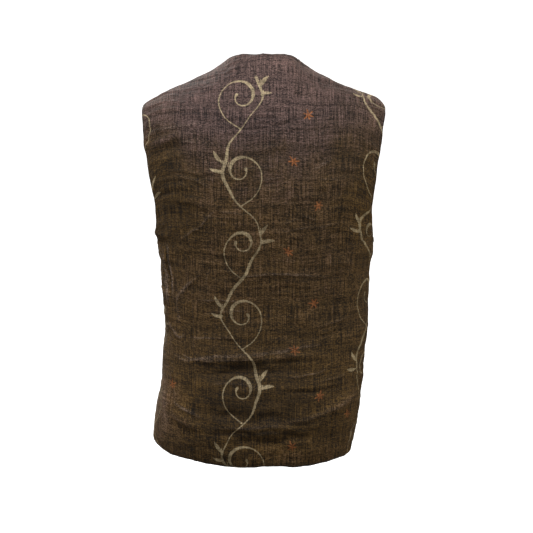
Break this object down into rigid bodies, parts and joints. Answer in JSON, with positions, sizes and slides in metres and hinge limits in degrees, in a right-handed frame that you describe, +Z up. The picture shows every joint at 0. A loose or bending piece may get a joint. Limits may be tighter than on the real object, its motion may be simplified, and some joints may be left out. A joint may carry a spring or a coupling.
{
  "type": "wrap vest",
  "caption": "Sleeveless wrap vest in dark woven cloth, worn and hollow, with a panelled back, crossed fronts, deep armholes and a straight hem.",
  "frame": {"origin": "midway between the neck ends of the two shoulder seams, where a wearer's shoulders hold the vest", "axes": "+X towards the wearer's left, +Y towards the wearer's back, +Z up"},
  "size_m": [0.3868, 0.2512, 0.6611],
  "materials": {
    "vest_cloth": null,
    "horn_button": "dark horn, half polished"
  },
  "bodies": {
    "root": {"back_centre": "vest_cloth", "back_side_left": "vest_cloth", "back_side_right": "vest_cloth", "front_left_under": "vest_cloth", "front_right_over": "vest_cloth", "button": "horn_button"}
  },
  "joints": []
}
